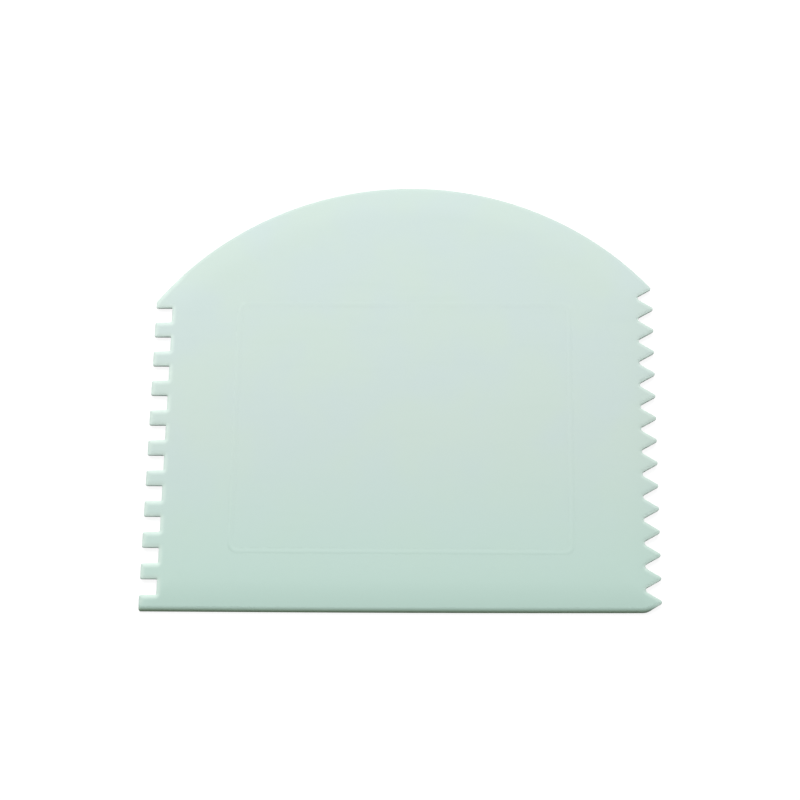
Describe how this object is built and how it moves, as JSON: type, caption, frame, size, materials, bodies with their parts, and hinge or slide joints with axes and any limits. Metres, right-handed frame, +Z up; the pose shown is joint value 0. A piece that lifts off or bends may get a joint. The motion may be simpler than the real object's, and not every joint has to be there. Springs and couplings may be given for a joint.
{
  "type": "icing smoother",
  "caption": "Flat moulded icing smoother with a straight edge, a curved edge, a square-toothed comb on one side and a pointed comb on the other.",
  "frame": {"origin": "centre of the bounding box, on the flat underside that the tool lies on", "axes": "+X from the square comb to the pointed comb, +Y from the straight edge to the curved edge, +Z up out of the face with the raised rectangle"},
  "size_m": [0.12, 0.1068, 0.0019],
  "materials": {
    "mint_plastic": "satin, as moulded"
  },
  "bodies": {
    "root": {"blade": "mint_plastic", "raised_line": "mint_plastic", "square_comb": "mint_plastic", "pointed_comb": "mint_plastic"}
  },
  "joints": []
}
